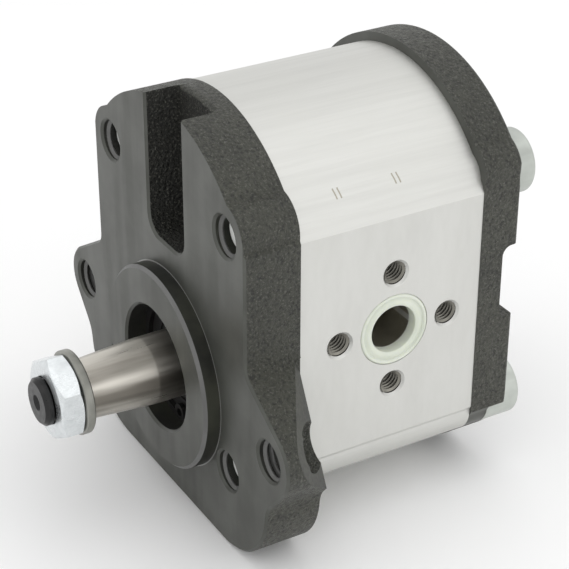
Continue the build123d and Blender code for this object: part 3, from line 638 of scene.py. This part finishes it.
# ---- port rings: a soft outer bead, a shallow channel and a rounded lip round the bore
# The shares are of the ring's width from its bore outwards, and of its height over the port face
ringSpec = {"lipRound": 0.7 * mm, "channel": 0.25 * mm, "channelShares": (0.45, 0.55, 0.68),
            "beadShares": (0.76, 0.86), "beadFootHeight": 0.7, "edgeHeight": 0.6, "edgeRound": 0.25 * mm,
            "edgeDrop": 0.2 * mm, "around": 96, "crease": 50}


def portRing(name, node, mount, centre, side):
    bore = mountSize(mount, "r_mm")
    ringLow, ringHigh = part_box(node)
    outer = (ringHigh.z - ringLow.z) / 2
    proud = (ringHigh.x if side > 0 else -ringLow.x) - portFaceX
    depth = ringHigh.x - ringLow.x
    width = outer - bore
    lip, channel = ringSpec["lipRound"], ringSpec["channel"]
    channelRim, channelStart, channelEnd = [bore + share * width for share in ringSpec["channelShares"]]
    beadFoot, beadTop = [bore + share * width for share in ringSpec["beadShares"]]
    section = [(bore, proud - depth), (bore, -lip), (bore + lip / 4, -lip / 4), (bore + lip, 0),
               (channelRim, 0), (channelStart, -channel), (channelEnd, -channel),
               (beadFoot, proud * ringSpec["beadFootHeight"]), (beadTop, proud),
               (outer - ringSpec["edgeRound"], proud * ringSpec["edgeHeight"]),
               (outer, -ringSpec["edgeDrop"]), (outer, proud - depth)]
    bm = bmesh.new()
    loop = [bm.verts.new((side * (portFaceX + height), centre.y, centre.z + radius))
            for radius, height in section]
    edges = [bm.edges.new((loop[i], loop[(i + 1) % len(loop)])) for i in range(len(loop))]
    bmesh.ops.spin(bm, geom=loop + edges, cent=centre, axis=(1, 0, 0), dvec=(0, 0, 0), angle=tau,
                   steps=ringSpec["around"], use_merge=True, use_duplicate=False)
    bmesh.ops.remove_doubles(bm, verts=bm.verts, dist=mergeDistance)
    bmesh.ops.recalc_face_normals(bm, faces=bm.faces)
    for face in bm.faces:
        face.smooth = True
    mesh = bpy.data.meshes.new(name)
    bm.to_mesh(mesh)
    bm.free()
    mesh.set_sharp_from_angle(angle=radians(ringSpec["crease"]))
    mesh.materials.append(finishes["ivory"])
    return finishPiece(bpy.data.objects.new(name, mesh), "casing", "port_plastic", node)


portRing("pressurePortSeal", "pressure_port_ring", "pressure_port", portCentre, 1)
portRing("suctionPortSeal", "suction_port_ring", "suction_port", suctionCentre, -1)

# ---- nodes whose shape stays: only their finish is set
for node, finish in {
        "drive_gear_shaft": "shaftSteel", "driven_gear_shaft": "drivenSteel",
        "front_bearing_block": "dieCast", "rear_bearing_block": "dieCast",
        "drive_front_sleeve": "bronze", "drive_rear_sleeve": "bronze",
        "driven_front_sleeve": "bronze", "driven_rear_sleeve": "bronze",
        "front_body_seal": "rubber", "rear_body_seal": "rubber",
        "front_pressure_seal": "rubber", "rear_pressure_seal": "rubber",
        "front_backup_ring": "backup", "rear_backup_ring": "backup",
        "shaft_seal_case": "darkSteel", "shaft_seal_lip": "rubber", "garter_spring": "washerSteel",
        "seal_retaining_ring": "darkSteel", "shaft_key": "darkSteel",
        "front_dowel_pins": "washerSteel", "rear_dowel_pins": "washerSteel"}.items():
    wearFinish(node, finish)
print("inner pieces finished")


# ---- floor, lights and camera
studio = {"floorSize": 6.0, "floorGrey": 0.95, "floorSpecular": 0.2, "floorRough": 0.7,
          "worldGrey": 1.0, "worldStrength": 0.95, "lightTarget": (0, 0.03, 0.015)}
lights = {"topSoftbox": {"place": (0.15, 0.15, 0.75), "size": (0.9, 0.9), "watts": 1.2},
          "rightSoftbox": {"place": (0.85, 0.35, 0.25), "size": (0.6, 0.6), "watts": 0.7},
          "frontFill": {"place": (-0.25, -0.8, 0.45), "size": (0.5, 0.4), "watts": 0.3}}
cameraView = {"azimuth": 59.68, "elevation": 29.65, "roll": 0.15, "lens": 115.5, "sensor": 36.0,
              "right": 28.06 * mm, "up": 19.37 * mm, "distance": 448.5 * mm, "clipStart": 0.01}


def makeFloor():
    bm = bmesh.new()
    bmesh.ops.create_grid(bm, x_segments=1, y_segments=1, size=studio["floorSize"] / 2)
    bmesh.ops.translate(bm, vec=(0, 0, cadBox[0][2]), verts=bm.verts)
    mesh = bpy.data.meshes.new("studioFloor")
    bm.to_mesh(mesh)
    bm.free()
    material, tree, shader = startMaterial("paleFloor", 0.0, studio["floorSpecular"])
    shader.inputs["Base Color"].default_value = (studio["floorGrey"],) * 3 + (1,)
    shader.inputs["Roughness"].default_value = studio["floorRough"]
    mesh.materials.append(material)
    floor = bpy.data.objects.new("studioFloor", mesh)
    scene.collection.objects.link(floor)


def makeLight(name, spec):
    lamp = bpy.data.lights.new(name, "AREA")
    lamp.shape = "RECTANGLE"
    lamp.size, lamp.size_y = spec["size"]
    lamp.energy = spec["watts"]
    light = bpy.data.objects.new(name, lamp)
    light.location = spec["place"]
    aim = Vector(studio["lightTarget"]) - Vector(spec["place"])
    light.rotation_euler = aim.to_track_quat("-Z", "Y").to_euler()
    scene.collection.objects.link(light)


def makeWorld():
    world = bpy.data.worlds.new("studioWorld")
    world.use_nodes = True
    background = world.node_tree.nodes["Background"]
    background.inputs["Color"].default_value = (studio["worldGrey"],) * 3 + (1,)
    background.inputs["Strength"].default_value = studio["worldStrength"]
    scene.world = world
    scene.view_settings.view_transform = "Standard"


def placeCamera():
    turn, lift = radians(cameraView["azimuth"]), radians(cameraView["elevation"])
    right = Vector((cos(turn), sin(turn), 0))
    back = Vector((sin(turn) * cos(lift), -cos(turn) * cos(lift), sin(lift)))
    up = back.cross(right)
    place = right * cameraView["right"] + up * cameraView["up"] + back * cameraView["distance"]
    lens = bpy.data.cameras.new("mainCamera")
    lens.lens = cameraView["lens"]
    lens.sensor_width = cameraView["sensor"]
    lens.clip_start = cameraView["clipStart"]
    camera = bpy.data.objects.new("mainCamera", lens)
    facing = Matrix((right, up, back)).transposed().to_4x4()
    roll = Matrix.Rotation(radians(cameraView["roll"]), 4, "Z")
    camera.matrix_world = Matrix.Translation(place) @ facing @ roll
    scene.collection.objects.link(camera)
    scene.camera = camera


makeFloor()
for name, spec in lights.items():
    makeLight(name, spec)
makeWorld()
placeCamera()
print("studio ready")
